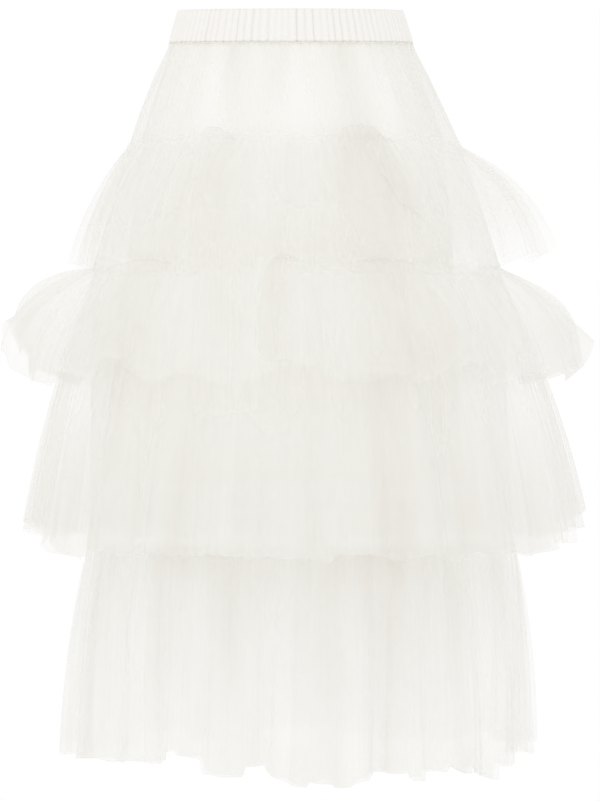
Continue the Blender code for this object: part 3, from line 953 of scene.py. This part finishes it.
class SKIRT_OT_base_skirt(bpy.types.Operator):
    """Tulle skirt gathered into the waistband, which carries every frill and flounce"""
    bl_idname = "skirt.base_skirt"
    bl_label = "Base skirt"

    def execute(self, context):
        turn = directions(context.scene.skirt_tulle.columns)
        # 80 rows, closest at the waist, where the gathers are finest
        share = evenly(80)[:, None] ** 1.6
        section = sections_down(BASE_SECTIONS, share)
        large = np.cos(20 * turn + 0.5 * np.sin(3.0 * turn)) * (0.75 + 0.25 * np.sin(5.0 * turn))
        fine, _ = fold_pattern(turn, share, 150, 21, 3.0)
        folds, _ = fold_pattern(turn, share, 46, 31, 1.6)
        yoke = held((WAIST - section.z) / (WAIST - UPPER.top))
        billow, sheerer = self.billows(turn, yoke)
        relief = FINE_GATHER * fine + YOKE_FOLD * folds * np.sin(pi * yoke)
        points = tube(turn, section, WALL / 2.0 + section.gather * large + relief + billow)
        uneven = streaks(turn, yoke, 51)
        # the billows are sheer only down to the first seam, the cloth is thin behind the last one, and it
        # crowds towards both sides
        sheerer = sheerer * held((section.z - UPPER.top + 0.05) / 0.03)
        behind = np.clip((section.z - HEM.top + 0.03) / 0.05, 0.3, 1.0)
        side = 1.0 + 0.5 * (near(turn, 180, 30) + near(turn, 360, 25)) * held(4.0 * yoke)
        # depth is painted shade: darker where the threads crowd, and painted lighter in the billows
        made = sew("base_skirt_tulle", points, BASE_CUT[0], "silk tulle", "base_skirt",
                   crowding=fullness(points, BASE_CUT[0]) * uneven * side * (1.0 - sheerer) * behind,
                   depth=0.45 + 1.1 * (uneven - 1.0) - 1.2 * sheerer, line=np.zeros(points.shape[:2]))
        return {"FINISHED"}

    def billows(self, turn, yoke):
        """(how far the cloth stands out, how much sheerer it is) for the billows of the yoke, which widen
        from a point at the waist, stand out as half a sine of the way down and are sheerest near the seam."""
        out, sheerer = 0.0 * yoke * turn, 0.0 * yoke * turn
        for billow in BILLOWS:
            direction = billow.at_waist + (billow.at_seam - billow.at_waist) * yoke
            shape = near(turn, direction, billow.half_width * (0.1 + 0.9 * yoke), 4)
            out += billow.out * shape * np.sin(pi * yoke)
            sheerer += billow.sheerer * shape * held(2.5 * yoke)
        return out, sheerer


class SKIRT_OT_frills(bpy.types.Operator):
    """Two gathered frills of two layers of tulle each, with petals and puffs in front"""
    bl_idname = "skirt.frills"
    bl_label = "Frills"

    def execute(self, context):
        build_tier(UPPER_LAYERS, UPPER_PETALS)
        build_tier(MIDDLE_LAYERS, MIDDLE_PETALS)
        return {"FINISHED"}


class SKIRT_OT_flounces(bpy.types.Operator):
    """Two gathered flounces of two layers of tulle each, one under the frills and one at the foot"""
    bl_idname = "skirt.flounces"
    bl_label = "Flounces"

    def execute(self, context):
        build_tier(LONG_LAYERS)
        build_tier(HEM_LAYERS)
        return {"FINISHED"}


class SKIRT_OT_stage(bpy.types.Operator):
    """Pale round floor, white surroundings, soft light and a level camera"""
    bl_idname = "skirt.stage"
    bl_label = "Stage"

    def execute(self, context):
        scene = context.scene
        scene.view_settings.view_transform = "Standard"
        scene.cycles.transparent_max_bounces = 64
        scene.cycles.max_bounces = 16
        scene.cycles.diffuse_bounces = 12
        self.lay_floor(scene, scene.skirt_stage)
        self.surround(scene, scene.skirt_stage)
        self.aim(scene, scene.skirt_stage)
        return {"FINISHED"}

    def lay_floor(self, scene, settings):
        """A flat disc of 96 sides."""
        rim = directions(96)
        mesh = bpy.data.meshes.new("floor")
        circle = np.stack([np.cos(rim), np.sin(rim), 0.0 * rim], axis=-1) * settings.floor_radius
        circle[:, 2] = settings.floor_height
        mesh.from_pydata(circle.tolist(), [], [list(range(len(rim)))])
        pale, _, shader = blank("floor", settings.floor_colour)
        shader.inputs["Roughness"].default_value = 0.9
        mesh.materials.append(pale)
        floor = bpy.data.objects.new("floor", mesh)
        scene.collection.objects.link(floor)

    def surround(self, scene, settings):
        """A white studio all round. The light that it gives is even but for a soft change from its dim side
        to its bright side, with the cosine of the angle to the bright side."""
        world = bpy.data.worlds.new("white studio")
        world.use_nodes = True
        world.cycles.sampling_method = "NONE"
        scene.world = world
        tree = world.node_tree
        tree.nodes.clear()
        white = opaque((1.0, 1.0, 1.0))
        seen = add(tree, "Background", {"Color": white, "Strength": 1.0})
        way = add(tree, "TexCoord").outputs["Generated"]
        bright_side = Vector(settings.bright_side).normalized()
        cosine = add(tree, "VectorMath", {0: way, 1: bright_side}, operation="DOT_PRODUCT")
        strength = add(tree, "MapRange", {"Value": cosine.outputs["Value"], "From Min": -1.0,
                                          "To Min": settings.dim, "To Max": settings.bright})
        lit = add(tree, "Background", {"Color": white, "Strength": strength.outputs[0]})
        ray = add(tree, "LightPath").outputs["Is Camera Ray"]
        either = add(tree, "MixShader", {0: ray, 1: lit.outputs[0], 2: seen.outputs[0]})
        add(tree, "OutputWorld", {0: either.outputs[0]})

    def aim(self, scene, settings):
        """A level camera that looks towards the back, with the picture's height at the skirt's middle."""
        data = bpy.data.cameras.new("camera")
        data.sensor_width = 36.0
        data.lens = data.sensor_width * settings.distance / settings.view_height
        camera = bpy.data.objects.new("camera", data)
        camera.location = settings.aim - Vector((0.0, settings.distance, 0.0))
        camera.rotation_euler = (radians(90.0), 0.0, 0.0)
        scene.collection.objects.link(camera)
        scene.camera = camera


class SKIRT_PT_pieces(bpy.types.Panel):
    """Lists the skirt's pieces and their settings"""
    bl_idname = "SKIRT_PT_pieces"
    bl_label = "Tulle skirt"
    bl_space_type = "VIEW_3D"
    bl_region_type = "UI"
    bl_category = "Skirt"

    def draw(self, context):
        for group, kind in SETTINGS.items():
            column = self.layout.column()
            for name in kind.__annotations__:
                column.prop(getattr(context.scene, group), name)
        for piece in PIECES:
            self.layout.operator(piece.bl_idname)


PIECES = (
    SKIRT_OT_waistband,
    SKIRT_OT_slip,
    SKIRT_OT_base_skirt,
    SKIRT_OT_frills,
    SKIRT_OT_flounces,
    SKIRT_OT_stage,
)
SETTINGS = {"skirt_tulle": TulleSettings, "skirt_casing": CasingSettings, "skirt_stage": StageSettings}
CLASSES = (*SETTINGS.values(), *PIECES, SKIRT_PT_pieces)


def register():
    for item in CLASSES:
        bpy.utils.register_class(item)
    for group, kind in SETTINGS.items():
        setattr(bpy.types.Scene, group, PointerProperty(type=kind))


def unregister():
    for group in SETTINGS:
        delattr(bpy.types.Scene, group)
    for item in reversed(CLASSES):
        bpy.utils.unregister_class(item)


def main():
    register()
    bpy.ops.skirt.waistband()
    bpy.ops.skirt.slip()
    bpy.ops.skirt.base_skirt()
    bpy.ops.skirt.frills()
    bpy.ops.skirt.flounces()
    bpy.ops.skirt.stage()


if __name__ == "__main__":
    main()
